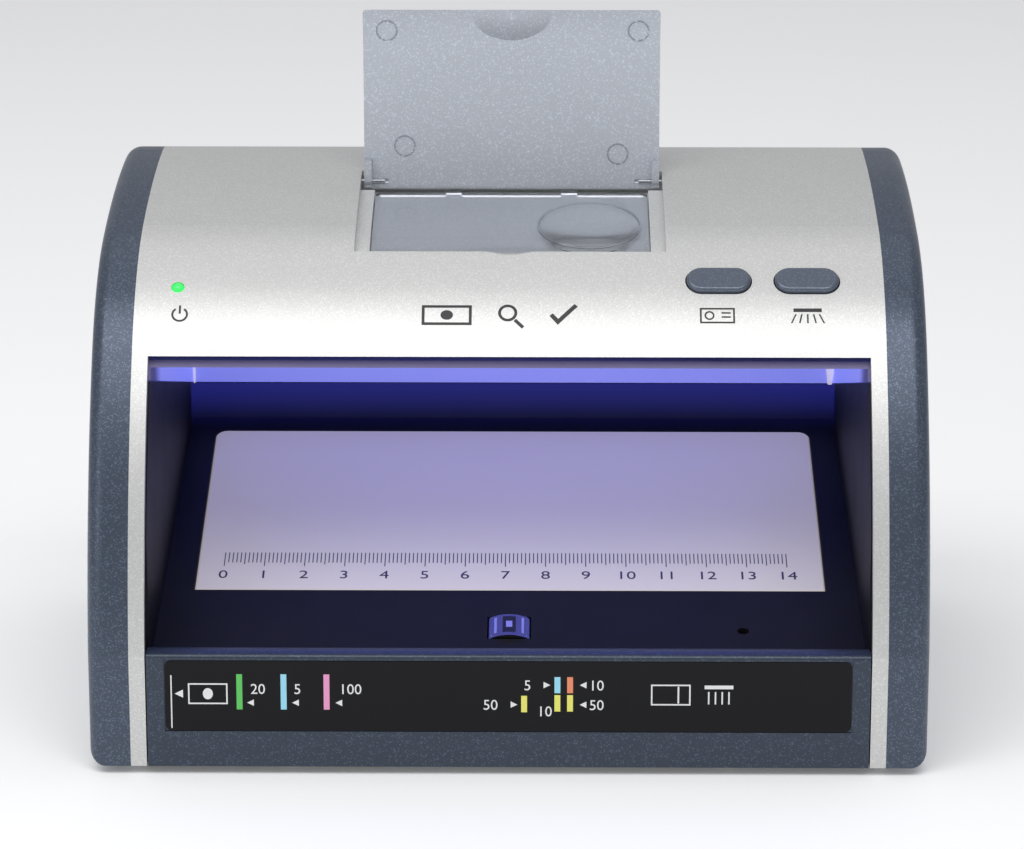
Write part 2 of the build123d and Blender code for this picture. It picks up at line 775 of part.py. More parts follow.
def dc_jack():
    """Power socket on the rear edge of the main board."""
    width, length, height = jack_size
    rear = body_depth - cover_wall - 0.2
    level = board_top + seat_gap
    body = block((jack_x - width / 2, jack_x + width / 2), (rear - length, rear), (level, level + height))
    middle = level + height / 2 + 0.95
    bore = Pos(jack_x, rear, middle) * Rot(90, 0, 0) * Cylinder(jack_bore_radius, 2 * (length - 3))
    pin = Pos(jack_x, rear - length / 2, middle) * Rot(90, 0, 0) * Cylinder(jack_pin_radius, length - 2)
    barrel = Pos(jack_x, rear - length / 2, middle) * Rot(90, 0, 0) * Cylinder(jack_bore_radius + 1.0, length)
    return body + barrel - bore + pin


def push_button(x):
    """Pill-shaped push button with a retaining flange and a stem down to its switch."""
    cap_height = cover_wall + button_proud + 0.3
    cap = pill(button_length, button_width, cap_height)
    cap = fillet(cap.faces().sort_by(Axis.Z)[-1].edges(), 0.9)
    flange = pill(button_length + 2 * button_flange, button_width + 2 * button_flange, flange_thickness)
    stem_end = button_board_drop - switch_height + stem_seat
    stem_length = stem_end - cover_wall - 0.3
    stem = Cylinder(stem_radius, stem_length, align=(Align.CENTER, Align.CENTER, Align.MAX))
    button = cap + Pos(0, 0, -flange_thickness) * flange + stem
    return on_surface(x, button_setback, cover_wall + 0.3) * button


def button_board():
    """Small board under the two buttons."""
    board = Box(42, button_board_length, board_thickness, align=(Align.CENTER, Align.CENTER, Align.MAX))
    middle = sum(button_xs.values()) / 2
    return on_surface(middle, button_setback, button_board_drop) * board


def tact_switches():
    """Two push switches, each open at the top for its button's stem."""
    made = []
    for x in button_xs.values():
        body = Box(switch_size, switch_size, switch_height, align=(Align.CENTER, Align.CENTER, Align.MIN))
        depth = stem_seat + button_travel + stem_spare
        body -= Pos(0, 0, switch_height) * Cylinder(stem_radius + stem_gap, 2 * depth)
        made.append(on_surface(x, button_setback, button_board_drop - seat_gap) * body)
    return group(made)


def power_indicator():
    """Green power lamp whose dome just fills its hole in the cover."""
    barrel = Cylinder(indicator_radius, 4.2, align=(Align.CENTER, Align.CENTER, Align.MAX))
    flange = Cylinder(indicator_radius + 0.4, 0.8, align=(Align.CENTER, Align.CENTER, Align.MIN))
    dome = Sphere(indicator_radius)
    return on_surface(indicator_x, indicator_setback, 0.9) * (barrel + Pos(0, 0, -4.2) * flange + dome)


def indicator_board():
    """Small board that carries the power lamp."""
    board = Box(22, 9, board_thickness, align=(Align.CENTER, Align.CENTER, Align.MAX))
    return on_surface(indicator_x + 7.0, indicator_setback, 5.15) * board


def magnifier_card():
    """Clear card with a domed reading lens, laid in the pocket under the lid."""
    width = recess_width - 2 * rail_width - 2 * card_gap
    front = recess_front + card_gap
    middle = front + card_length / 2
    region = block((-width / 2, width / 2), (front, front + card_length), upper)
    region = chamfer(region.edges().filter_by(Axis.Z), card_corner / 2)
    for x in (-14.5, 14.5):
        region += block((x - 2, x + 2), (middle, front + card_length + 1.6), upper)
    card = region & deep(pocket_drop - card_thickness) - deep(pocket_drop - 0.05)
    lens = on_surface(lens_x, lens_setback, pocket_drop - card_thickness)
    dome = lens * Rot(180, 0, 0) * dish(lens_radius, lens_crown)
    column = lens * Cylinder(lens_radius + 2, 6 * lens_crown)
    return card + (dome & column & (deep(0) - deep(pocket_drop - 0.5)))


def lid_axis_turn(angle):
    """Turns a piece about the lid's hinge line."""
    return (Pos(0, lid_axis_setback, lid_axis_height) * Rot(angle, 0, 0)
            * Pos(0, -lid_axis_setback, -lid_axis_height))


def lid():
    """Sparkling lid over the magnifier, shaped shut and then swung up to its upright resting place."""
    half = recess_width / 2 - lid_gap
    region = block((-half, half), (recess_front + fit_gap, lid_axis_setback), upper)
    region = fillet(region.edges().filter_by(Axis.Z).group_by(Axis.Y)[0], 1.0)
    plate = region & (deep(0) - deep(lid_thickness))
    slope = surface_at(lid_axis_setback)[1]
    at_axis = Pos(0, lid_axis_setback, lid_axis_height) * Rot(slope, 0, 0)
    round_bar = Rot(0, 90, 0) * Cylinder(lid_axis_drop, 2 * half)
    above = lid_axis_drop - lid_thickness
    heel = round_bar & Box(far, far, far, align=(Align.CENTER, Align.MIN, Align.MIN))
    heel += round_bar & Pos(0, 0, above) * Box(far, far, far, align=(Align.CENTER, Align.CENTER, Align.MIN))
    made = plate + at_axis * heel
    for side in (-1, 1):
        middle = side * (half - ear_thickness / 2)
        ear = Pos(middle, 0, 0) * Rot(0, 90, 0) * Cylinder(lid_axis_drop, ear_thickness)
        web = Box(ear_thickness, ear_reach, ear_drop + above, align=(Align.CENTER, Align.MAX, Align.MAX))
        made += at_axis * (ear + Pos(middle, 0, above + 0.1) * web)
        made -= crosswise(side * (pin_inner_end - 1), side * (half + 1), lid_axis_setback, lid_axis_height,
                          pin_radius + 0.02)
    edge = on_surface(0, recess_front + fit_gap)
    swell = edge * Pos(0, 0, -lid_thickness) * dish(scoop_radius, scoop_depth)
    made += swell & region & (deep(0) - deep(lid_thickness + scoop_depth))
    made -= edge * dish(scoop_radius, scoop_depth)
    return lid_axis_turn(-lid_swing) * made


def hinge_pin(side):
    """Steel pin through one ear of the lid into the side of the recess."""
    end = recess_width / 2 + tray_wall
    return crosswise(side * pin_inner_end, side * end, lid_axis_setback, lid_axis_height, pin_radius)


def lamp_lead(side):
    """Two-core lead from the main board up behind the tub to the lamp holder."""
    x, y = connector_places["right_lamp" if side > 0 else "left_lamp"]
    end = lamp_setbacks[1] + tube_radius + holder_reach + 0.2
    return tube([(x, y, lead_start), (x, y, lamp_lead_height), (x, end, lamp_lead_height)], [9.0])


def surface_lead(name, x):
    """Lead from a board under the front of the top, over the hood and down to the main board."""
    x_end, y_end = connector_places[name]
    reach = button_board_length / 2 + lead_radius + 0.2
    first = on_surface(x, button_setback, button_board_drop + board_thickness / 2) * Pos(0, reach, 0)
    y, z = first.position.Y, first.position.Z
    over = (hood_roof + body_height - cover_wall) / 2
    points = [(x, y, z), (x, y + 9.0, z + 6.4), (x_end, y_end, over), (x_end, y_end, lead_start)]
    return tube(points, [12.0, 8.0])


def backlight_lead():
    """Lead from the light box down to the main board."""
    x, y = connector_places["backlight"]
    start_y = y - 8.0
    start = floor_height(start_y) - (light_box_bottom + 0.6) / math.cos(math.radians(floor_angle))
    points = [(x, start_y, start), (x, start_y, lead_start + 10.0), (x, y, lead_start + 6.5),
              (x, y, lead_start)]
    return tube(points, [3.5, 3.5])


def head_lead():
    """Screened lead from the magnetic head back to the main board."""
    x, y = connector_places["head"]
    first = on_floor(0, head_setback) * Pos(0, 0, -head_height - 0.1)
    start = first.position
    level = board_top + connector_height / 2
    return tube([(x, start.Y, start.Z), (x, start.Y + 2.0, level - 1.0), (x, y - 3.05, level)], [3.5])


def placed(shape):
    """A piece moved so that the origin is under the middle of the unit, at the soles of the feet."""
    return Pos(0, -body_depth / 2, foot_proud) * shape


pieces = {
    "top_cover": top_cover,
    "left_side_cover": lambda: side_cap(-1),
    "right_side_cover": lambda: side_cap(1),
    "side_cover_screws": cap_screws,
    "base_pan": base_pan,
    "base_screws": base_screws,
    "rubber_feet": rubber_feet,
    "front_panel": front_panel,
    "front_label": front_label,
    "bay_tub": bay_tub,
    "watermark_plate": watermark_plate,
    "light_box": light_box,
    "backlight_board": backlight_board,
    "backlight_leds": backlight_leds,
    "magnetic_head": magnetic_head,
    "head_bracket": head_bracket,
    "head_screws": head_screws,
    "lamp_hood": lamp_hood,
    "hood_screws": hood_screws,
    "left_lamp_holder": lambda: lamp_holder(-1),
    "right_lamp_holder": lambda: lamp_holder(1),
    "front_uv_tube": lambda: lamp_tube(0),
    "rear_uv_tube": lambda: lamp_tube(1),
    "tube_end_caps": tube_end_caps,
    "main_board": main_board,
    "board_screws": board_screws,
    "lamp_transformer": lamp_transformer,
    "capacitors": capacitors,
    "buzzer": buzzer,
    "control_chips": control_chips,
    "connectors": connectors,
    "dc_jack": dc_jack,
    "button_board": button_board,
    "tact_switches": tact_switches,
    "wm_button": lambda: push_button(button_xs["wm_button"]),
    "uv_button": lambda: push_button(button_xs["uv_button"]),
    "power_indicator": power_indicator,
    "indicator_board": indicator_board,
    "magnifier_card": magnifier_card,
    "lid": lid,
    "left_hinge_pin": lambda: hinge_pin(-1),
    "right_hinge_pin": lambda: hinge_pin(1),
    "left_lamp_lead": lambda: lamp_lead(-1),
    "right_lamp_lead": lambda: lamp_lead(1),
    "button_lead": lambda: surface_lead("button", sum(button_xs.values()) / 2),
    "indicator_lead": lambda: surface_lead("indicator", indicator_x + 16.0),
    "backlight_lead": backlight_lead,
    "head_lead": head_lead,
}

os.makedirs("parts", exist_ok=True)
for name, make in pieces.items():
    export_step(placed(make()), f"parts/{name}.step")
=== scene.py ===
import math

import bmesh
import bpy
from mathutils import Matrix, Vector
from mathutils.bvhtree import BVHTree


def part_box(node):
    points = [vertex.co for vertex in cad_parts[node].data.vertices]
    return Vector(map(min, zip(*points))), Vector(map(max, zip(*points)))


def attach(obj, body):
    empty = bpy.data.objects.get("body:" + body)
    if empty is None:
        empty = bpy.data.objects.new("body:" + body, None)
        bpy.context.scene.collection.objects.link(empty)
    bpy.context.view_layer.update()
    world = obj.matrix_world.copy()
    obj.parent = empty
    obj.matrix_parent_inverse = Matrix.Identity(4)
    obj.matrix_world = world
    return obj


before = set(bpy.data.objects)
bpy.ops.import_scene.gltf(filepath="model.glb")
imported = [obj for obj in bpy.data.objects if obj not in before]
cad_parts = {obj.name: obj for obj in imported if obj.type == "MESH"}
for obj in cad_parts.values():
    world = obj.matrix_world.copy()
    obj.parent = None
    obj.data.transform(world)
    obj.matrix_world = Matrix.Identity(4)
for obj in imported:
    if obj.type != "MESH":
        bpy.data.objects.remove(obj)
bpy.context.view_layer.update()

# ------------------------------------------------------------------------------ silver top cover
# Injection-moulded ABS shell, sprayed with a fine silver paint and left satin.  It wraps from the
# brow over the top to the back, and frames the viewing bay with a narrow strip down each side.
# Posts moulded inside it take the screws that come up through the base pan.
MM = 0.001


def shader(name, colour, roughness, metallic=0.0):
    """A material with its shader's own sockets set, and the tools to add nodes to it."""
    material = bpy.data.materials.new(name)
    material.use_nodes = True
    tree = material.node_tree
    surface = tree.nodes["Principled BSDF"]
    surface.inputs["Base Color"].default_value = (*colour, 1.0)
    surface.inputs["Roughness"].default_value = roughness
    surface.inputs["Metallic"].default_value = metallic
    return material, tree, surface


def node(tree, kind, **settings):
    """A shader node with its properties, or its input sockets, set by name."""
    made = tree.nodes.new(kind)
    for key, value in settings.items():
        if hasattr(made, key):
            setattr(made, key, value)
        else:
            made.inputs[key.replace("_", " ")].default_value = value
    return made


def coordinates(tree):
    """The point being shaded, in the shared frame."""
    return node(tree, "ShaderNodeTexCoord").outputs["Object"]


def ramp(tree, source, stops):
    """A colour ramp through (position, colour) stops."""
    made = node(tree, "ShaderNodeValToRGB")
    tree.links.new(source, made.inputs["Fac"])
    elements = made.color_ramp.elements
    while len(elements) < len(stops):
        elements.new(0.5)
    for element, (position, colour) in zip(elements, stops):
        element.position = position
        element.color = (*colour, 1.0)
    return made.outputs["Color"]


def spread(tree, source, low, high, start=0.0, end=1.0, way="LINEAR"):
    """A value that goes from low to high while its source goes from start to end."""
    made = node(tree, "ShaderNodeMapRange", interpolation_type=way,
                From_Min=start, From_Max=end, To_Min=low, To_Max=high)
    tree.links.new(source, made.inputs["Value"])
    return made.outputs["Result"]


def noise(tree, scale, detail=2.0):
    """Soft random grey, scale in waves per metre."""
    made = node(tree, "ShaderNodeTexNoise", Scale=scale, Detail=detail, Roughness=0.5)
    tree.links.new(coordinates(tree), made.inputs["Vector"])
    return made.outputs["Fac"]


def bump(tree, surface, source, strength, distance):
    """Fine relief from a grey source, distance in metres."""
    made = node(tree, "ShaderNodeBump", Strength=strength, Distance=distance)
    tree.links.new(source, made.inputs["Height"])
    tree.links.new(made.outputs["Normal"], surface.inputs["Normal"])


def vary_roughness(tree, surface, low, high, scale=60.0):
    """Handled plastic is never evenly glossy: roughness drifts between two values."""
    drift = spread(tree, noise(tree, scale, 3.0), low, high)
    tree.links.new(drift, surface.inputs["Roughness"])


def flakes(tree, size, share):
    """White where a paint flake of the given size catches the light, black elsewhere."""
    cells = node(tree, "ShaderNodeTexVoronoi", Scale=1.0 / size)
    tree.links.new(coordinates(tree), cells.inputs["Vector"])
    pick = node(tree, "ShaderNodeSeparateColor")
    tree.links.new(cells.outputs["Color"], pick.inputs["Color"])
    dull, bright = (0, 0, 0), (1, 1, 1)
    return ramp(tree, pick.outputs["Red"], [(0.0, dull), (1 - share, dull), (1 - share / 3, bright)])


def metallic_paint(name, ground, flake, size, share, roughness, metallic):
    """Sprayed finish: a pigmented ground, flakes of a size and share, and a faint orange peel."""
    material, tree, surface = shader(name, ground, roughness, metallic)
    mix = node(tree, "ShaderNodeMix", data_type="RGBA")
    mix.inputs["A"].default_value = (*ground, 1.0)
    mix.inputs["B"].default_value = (*flake, 1.0)
    tree.links.new(flakes(tree, size, share), mix.inputs["Factor"])
    tree.links.new(mix.outputs["Result"], surface.inputs["Base Color"])
    vary_roughness(tree, surface, roughness - 0.05, roughness + 0.05)
    bump(tree, surface, noise(tree, 1.2 / size), 0.25, size * 0.06)
    return material


def dress(material, *names):
    """Gives carried-over pieces their finish."""
    for name in names:
        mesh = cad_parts[name].data
        mesh.materials.clear()
        mesh.materials.append(material)


silver = metallic_paint("silver_paint", ground=(0.58, 0.58, 0.565), flake=(0.70, 0.70, 0.69),
                        size=0.22 * MM, share=0.30, roughness=0.40, metallic=0.55)
dress(silver, "top_cover")

# ------------------------------------------------------------------------------ slate pieces
# The side covers, the lower front panel and the buttons are ABS mouldings, sprayed slate blue with
# a coarse flake.  The panel's copy of the paint is darker, a painted shade for its face turned
# forward and down; the buttons' copy is lighter.  Screws from inside hold the side covers, screws
# from below the panel, and a flange under the cover keeps each button in.
slate = metallic_paint("slate_paint", ground=(0.058, 0.075, 0.108), flake=(0.115, 0.145, 0.20),
                       size=0.28 * MM, share=0.24, roughness=0.33, metallic=0.45)
dress(slate, "left_side_cover", "right_side_cover")
# Painted shade: a darker copy of the slate paint, for the panel's face turned from the light.
shaded_panel_slate = metallic_paint("shaded_panel_slate", ground=(0.037, 0.050, 0.072), flake=(0.08, 0.105, 0.15),
                             size=0.28 * MM, share=0.16, roughness=0.33, metallic=0.45)
dress(shaded_panel_slate, "front_panel")
button_slate = metallic_paint("button_slate", ground=(0.100, 0.118, 0.157), flake=(0.17, 0.195, 0.245),
                              size=0.18 * MM, share=0.16, roughness=0.26, metallic=0.45)
dress(button_slate, "wm_button", "uv_button")

# ------------------------------------------------------------------------------ lid and hinge pins
# The magnifier's lid is an ABS moulding sprayed with a bluer, coarser silver than the cover's.
# A short pin of drawn steel stands out of each of its ears and turns in the cover.
lid_paint = metallic_paint("lid_paint", ground=(0.47, 0.50, 0.55), flake=(0.60, 0.64, 0.70),
                           size=0.30 * MM, share=0.22, roughness=0.36, metallic=0.55)
dress(lid_paint, "lid")


def metal(name, colour, roughness, grain=900.0):
    """Bare or plated metal with a fine grain, in waves per metre."""
    material, tree, surface = shader(name, colour, roughness, 1.0)
    vary_roughness(tree, surface, roughness * 0.8, roughness * 1.3, grain)
    bump(tree, surface, noise(tree, grain * 3, 1.0), 0.08, 0.005 * MM)
    return material


dress(metal("pin_steel", (0.30, 0.31, 0.33), 0.25), "left_hinge_pin", "right_hinge_pin")

# ------------------------------------------------------------------------------ magnifier card
# Clear moulded acrylic card with a domed lens standing up out of it.  It lies loose in its pocket
# under the lid, and lifts out by hand.
acrylic, tree, surface = shader("clear_acrylic", (0.86, 0.88, 0.93), 0.03)
surface.inputs["Transmission Weight"].default_value = 1.0
surface.inputs["IOR"].default_value = 1.49
bump(tree, surface, noise(tree, 220.0), 0.05, 0.03 * MM)
dress(acrylic, "magnifier_card")

# ------------------------------------------------------------------------------ viewing bay
# The tub is black ABS with the fine grain of its mould, and the hood over it, which is screwed to
# the cover and carries the lamps, is white.  The lamps' light on the hood's inner faces and on the
# top of the tub's back wall is painted light, an emission, and the hood's lip behind the brow is
# given a painted shade.


def moulding(name, colour, roughness, grain=2600.0, depth=0.03 * MM):
    """Plain moulded plastic with its mould's eroded grain, in waves per metre."""
    material, tree, surface = shader(name, colour, roughness)
    darker = [channel * 0.90 for channel in colour]
    lighter = [min(1.0, channel * 1.08) for channel in colour]
    shade = ramp(tree, noise(tree, 90.0, 4.0), [(0.3, darker), (0.7, lighter)])
    tree.links.new(shade, surface.inputs["Base Color"])
    vary_roughness(tree, surface, roughness - 0.06, roughness + 0.06)
    bump(tree, surface, noise(tree, grain), 0.3, depth)
    return material


def along(tree, axis):
    """How far along an axis of the shared frame the shaded point is."""
    place = node(tree, "ShaderNodeSeparateXYZ")
    tree.links.new(coordinates(tree), place.inputs["Vector"])
    return place.outputs[axis]


def product(tree, first, second):
    """Two values multiplied."""
    made = node(tree, "ShaderNodeMath", operation="MULTIPLY")
    tree.links.new(first, made.inputs[0])
    tree.links.new(second, made.inputs[1])
    return made.outputs["Value"]


# Painted light: the lamps' light on the top of the tub's back wall, an emission rising with height.
painted_wall_light = (0.010, 0.012, 0.150, 1.0)
painted_light_foot, painted_light_full = 53.0 * MM, 65.5 * MM
wall_front, wall_face = 40.0 * MM, 45.5 * MM
tub_black = moulding("tub_black", (0.008, 0.008, 0.011), 0.52)
tree = tub_black.node_tree
surface = tree.nodes["Principled BSDF"]
surface.inputs["Specular IOR Level"].default_value = 0.20
surface.inputs["Emission Color"].default_value = painted_wall_light
painted_light_rise = spread(tree, along(tree, "Z"), 0.0, 1.0, painted_light_foot, painted_light_full, "SMOOTHSTEP")
painted_light_at_wall = spread(tree, along(tree, "Y"), 0.0, 1.0, wall_front, wall_face, "SMOOTHSTEP")
tree.links.new(product(tree, painted_light_rise, painted_light_at_wall), surface.inputs["Emission Strength"])
dress(tub_black, "bay_tub")

# Painted light and shade: the hood's emission stands in for the lamps' light on its inner faces, with next
# to none outside; its lip behind the brow is painted less lit, and its pale tone is tinted blue by the
# lamps.
hood_pale, painted_hood_shade = (0.52, 0.52, 0.66), (0.13, 0.11, 0.24)
painted_hood_light = (0.16, 0.20, 1.0, 1.0)
lip_back, bay_front = -40.0 * MM, -26.0 * MM
back_inside, back_outside = 47.2 * MM, 48.0 * MM
lip_share = 0.04
inside_strength, outside_strength = 0.46, 0.01
hood_white = moulding("hood_white", hood_pale, 0.42)
tree = hood_white.node_tree
surface = tree.nodes["Principled BSDF"]
surface.inputs["Emission Color"].default_value = painted_hood_light
painted_light_inside = spread(tree, along(tree, "Y"), inside_strength, outside_strength,
                    back_inside, back_outside)
painted_lip_shade = spread(tree, along(tree, "Y"), lip_share, 1.0, lip_back, bay_front)
tree.links.new(product(tree, painted_light_inside, painted_lip_shade), surface.inputs["Emission Strength"])
# Painted shade: the lip behind the brow is darker in colour too.
shade = ramp(tree, painted_lip_shade, [(lip_share, painted_hood_shade), (1.0, hood_pale)])
tree.links.new(shade, surface.inputs["Base Color"])
dress(hood_white, "lamp_hood")

# ------------------------------------------------------------------------------ watermark plate
# Opal acrylic, cut from sheet with rounded corners and dropped into the bay's floor, where its
# face lies flush.  The light box under it lights it from below, a warm white.


def glow_evenly(surface, colour, strength):
    """Lets a surface give off light, the same all over."""
    surface.inputs["Emission Color"].default_value = (*colour, 1.0)
    surface.inputs["Emission Strength"].default_value = strength


opal, tree, surface = shader("opal_acrylic", (0.52, 0.50, 0.53), 0.28)
surface.inputs["Subsurface Weight"].default_value = 0.25
surface.inputs["Subsurface Radius"].default_value = (4.0 * MM, 4.0 * MM, 4.0 * MM)
glow_evenly(surface, (0.92, 0.82, 0.66), 0.22)
bump(tree, surface, noise(tree, 1500.0), 0.12, 0.02 * MM)
dress(opal, "watermark_plate")

# ------------------------------------------------------------------------------ lamps
# Two ultraviolet glass tubes with plated metal end caps, held between two white plastic holders
# under the hood's roof.  The light box, its small lamps and the lead connectors are white too.
tube_glow, tree, surface = shader("lamp_glow", (0.30, 0.26, 0.60), 0.10)
glow_evenly(surface, (0.16, 0.18, 1.0), 0.5)
vary_roughness(tree, surface, 0.06, 0.14)
dress(tube_glow, "front_uv_tube", "rear_uv_tube")
dress(metal("lamp_cap_metal", (0.70, 0.71, 0.73), 0.32), "tube_end_caps")
dress(moulding("socket_white", (0.74, 0.74, 0.72), 0.45),
      "left_lamp_holder", "right_lamp_holder", "light_box", "connectors", "backlight_leds")

# ------------------------------------------------------------------------------ magnetic head
# Chromed read head, carried by a zinc-plated spring-steel strip that is screwed to two posts under
# the floor.  All the unit's screws are zinc plated too.
dress(metal("head_chrome", (0.33, 0.33, 0.33), 0.22, 2600.0), "magnetic_head")
dress(metal("zinc_plate", (0.56, 0.57, 0.58), 0.34),
      "head_bracket", "head_screws", "base_screws", "side_cover_screws", "hood_screws",
      "board_screws")

# ------------------------------------------------------------------------------ power lamp
# Green light-emitting diode in clear tinted resin, on a small board behind the cover.  Its dome
# stands out of a round hole in the cover.
green, tree, surface = shader("green_lens", (0.05, 0.75, 0.12), 0.12)
glow_evenly(surface, (0.03, 0.85, 0.10), 0.8)
bump(tree, surface, noise(tree, 900.0), 0.05, 0.02 * MM)
dress(green, "power_indicator")

# ------------------------------------------------------------------------------ base, feet and boards
# Black ABS base pan on soft rubber feet, with screws up into the pieces above it.  Green
# glass-fibre boards lie inside, with black components and leads in black sleeves.
dress(moulding("pan_black", (0.014, 0.014, 0.016), 0.55, 1800.0, 0.05 * MM), "base_pan")
dress(moulding("foot_rubber", (0.020, 0.020, 0.021), 0.80, 1400.0, 0.06 * MM), "rubber_feet")
board, tree, surface = shader("circuit_board", (0.02, 0.14, 0.06), 0.38)
tracks = node(tree, "ShaderNodeTexBrick", Scale=260.0, Color1=(0.020, 0.135, 0.055, 1.0),
              Color2=(0.024, 0.155, 0.065, 1.0), Mortar=(0.035, 0.215, 0.085, 1.0))
tree.links.new(coordinates(tree), tracks.inputs["Vector"])
tree.links.new(tracks.outputs["Color"], surface.inputs["Base Color"])
bump(tree, surface, tracks.outputs["Fac"], 0.2, 0.03 * MM)
dress(board, "main_board", "button_board", "indicator_board", "backlight_board")
dress(moulding("component_black", (0.018, 0.018, 0.020), 0.42),
      "lamp_transformer", "capacitors", "buzzer", "control_chips", "dc_jack", "tact_switches")
dress(moulding("lead_sleeve", (0.016, 0.016, 0.018), 0.48),
      "left_lamp_lead", "right_lamp_lead", "button_lead", "indicator_lead", "backlight_lead",
      "head_lead")

# ------------------------------------------------------------------------------ printed marks on the cover
# Black screen-printed ink a few hundredths of a millimetre thick: a note, a looking glass and a
# tick above the bay, a sign for what each button lights and a power sign under the lamp.
INK = 0.04 * MM


def patch(shape, corners):
    """A flat polygon added to a shape, in mm."""
    shape.faces.new([shape.verts.new((x, y, 0)) for x, y in corners])


def bar(shape, x0, y0, x1, y1):
    """A flat rectangle added to a shape."""
    patch(shape, ((x0, y0), (x1, y0), (x1, y1), (x0, y1)))


def arrow(shape, x, y, reach):
    """A solid arrowhead with its point reach away from its back, left if reach is negative."""
    half = abs(reach) * 0.5
    patch(shape, ((x, y - half), (x + reach, y), (x, y + half)))


def ring(shape, x, y, outer, inner, start=0.0, turn=360.0, steps=36):
    """A flat ring, or part of one, spun from a short line."""
    across = Vector((math.cos(math.radians(start)), math.sin(math.radians(start)), 0))
    ends = [shape.verts.new(Vector((x, y, 0)) + across * radius) for radius in (inner, outer)]
    line = shape.edges.new(ends)
    bmesh.ops.spin(shape, geom=[*ends, line], cent=(x, y, 0), axis=(0, 0, 1),
                   angle=math.radians(turn), steps=steps, use_merge=turn == 360.0)


def disc(shape, x, y, width, height):
    """A flat oval added to a shape."""
    place = Matrix.Translation((x, y, 0)) @ Matrix.Diagonal((width / 2, height / 2, 1.0, 1.0))
    bmesh.ops.create_circle(shape, cap_ends=True, segments=28, radius=1.0, matrix=place)


def outline(shape, x, y, width, height, line):
    """A rectangle drawn with a line, centred on a point."""
    w, h = width / 2, height / 2
    corners = ((x - w, y - h), (x + w, y - h), (x + w, y + h), (x - w, y + h))
    sheet = shape.faces.new([shape.verts.new((*corner, 0)) for corner in corners])
    sheet.normal_update()
    bmesh.ops.inset_region(shape, faces=[sheet], thickness=line, use_boundary=True,
                           use_even_offset=True)
    bmesh.ops.delete(shape, geom=[sheet], context="FACES_ONLY")


def numeral(shape, text, x, y, height):
    """A number in plain figures, centred on a point and added to a shape."""
    size_over_height = 1.38
    curve = bpy.data.curves.new("figures", "FONT")
    curve.body = text
    curve.align_x = "CENTER"
    curve.size = height * size_over_height
    curve.resolution_u = 4
    holder = bpy.data.objects.new("figures", curve)
    bpy.context.scene.collection.objects.link(holder)
    drawn = holder.evaluated_get(bpy.context.evaluated_depsgraph_get())
    mesh = bpy.data.meshes.new_from_object(drawn)
    mesh.transform(Matrix.Translation((x, y - height / 2, 0)))
    shape.from_mesh(mesh)
    bpy.data.objects.remove(holder)
    bpy.data.curves.remove(curve)
    bpy.data.meshes.remove(mesh)


def add_piece(name, shape, material, body):
    """Makes a finished shape a piece of its own, which rides on a body."""
    mesh = bpy.data.meshes.new(name)
    shape.to_mesh(mesh)
    shape.free()
    mesh.materials.append(material)
    piece = bpy.data.objects.new(name, mesh)
    bpy.context.scene.collection.objects.link(piece)
    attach(piece, body)


def printed(name, shape, place, material, body, height=INK):
    """Turns a flat shape into a thin raised layer; place(x, y) gives a point and its normal."""
    # Cuts every millimetre, a little off the marks' own edges, let the layer follow a curve.
    top, bottom = max(v.co.y for v in shape.verts), min(v.co.y for v in shape.verts)
    off_edge = 0.37
    for index in range(1, int(top - bottom) + 1):
        geometry = shape.verts[:] + shape.edges[:] + shape.faces[:]
        level = (0, bottom + index - off_edge, 0)
        bmesh.ops.bisect_plane(shape, geom=geometry, plane_co=level, plane_no=(0, 1, 0), dist=1e-5)
    bmesh.ops.remove_doubles(shape, verts=shape.verts, dist=1e-4)
    bmesh.ops.triangulate(shape, faces=shape.faces)
    shape.normal_update()
    flipped = [face for face in shape.faces if face.normal.z < 0]
    bmesh.ops.reverse_faces(shape, faces=flipped)

    # The lower side is sunk half the ink's height into the piece, so that no gap shows.
    lifted = bmesh.ops.extrude_face_region(shape, geom=shape.faces[:])["geom"]
    upper = {part for part in lifted if isinstance(part, bmesh.types.BMVert)}
    for vertex in shape.verts:
        point, normal = place(vertex.co.x * MM, vertex.co.y * MM)
        vertex.co = point + normal * (height if vertex in upper else -0.5 * height)
    bmesh.ops.recalc_face_normals(shape, faces=shape.faces)
    add_piece(name, shape, material, body)


def laid_on(target, x, y, z, outward):
    """A place function that lays a mark on a piece, where a line through x, y, z meets it."""
    tree = BVHTree.FromObject(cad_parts[target], bpy.context.evaluated_depsgraph_get())
    outward = Vector(outward).normalized()
    right = Vector((1, 0, 0))
    up = outward.cross(right).normalized()
    centre = tree.ray_cast(Vector((x, y, z)) + outward * 0.05, -outward)[0]

    def place(across, along_up):
        """A point on the piece and the way its surface faces there."""
        start = centre + right * across + up * along_up + outward * 0.02
        return tree.ray_cast(start, -outward)[:2]
    return place


def on_brow(x):
    """Places a mark on the cover's slope above the bay, x in mm from the middle."""
    return laid_on("top_cover", x * MM, -42.8 * MM, 105.7 * MM, (0.0, -0.60, 0.80))


def ink(name, colour, roughness=0.42):
    """Dense screen ink with the slight weave of the mesh it was pressed through."""
    material, tree, surface = shader(name, colour, roughness)
    vary_roughness(tree, surface, roughness - 0.06, roughness + 0.06, 900.0)
    bump(tree, surface, noise(tree, 3500.0, 1.0), 0.15, 0.01 * MM)
    return material


black_ink = ink("black_ink", (0.012, 0.012, 0.014))

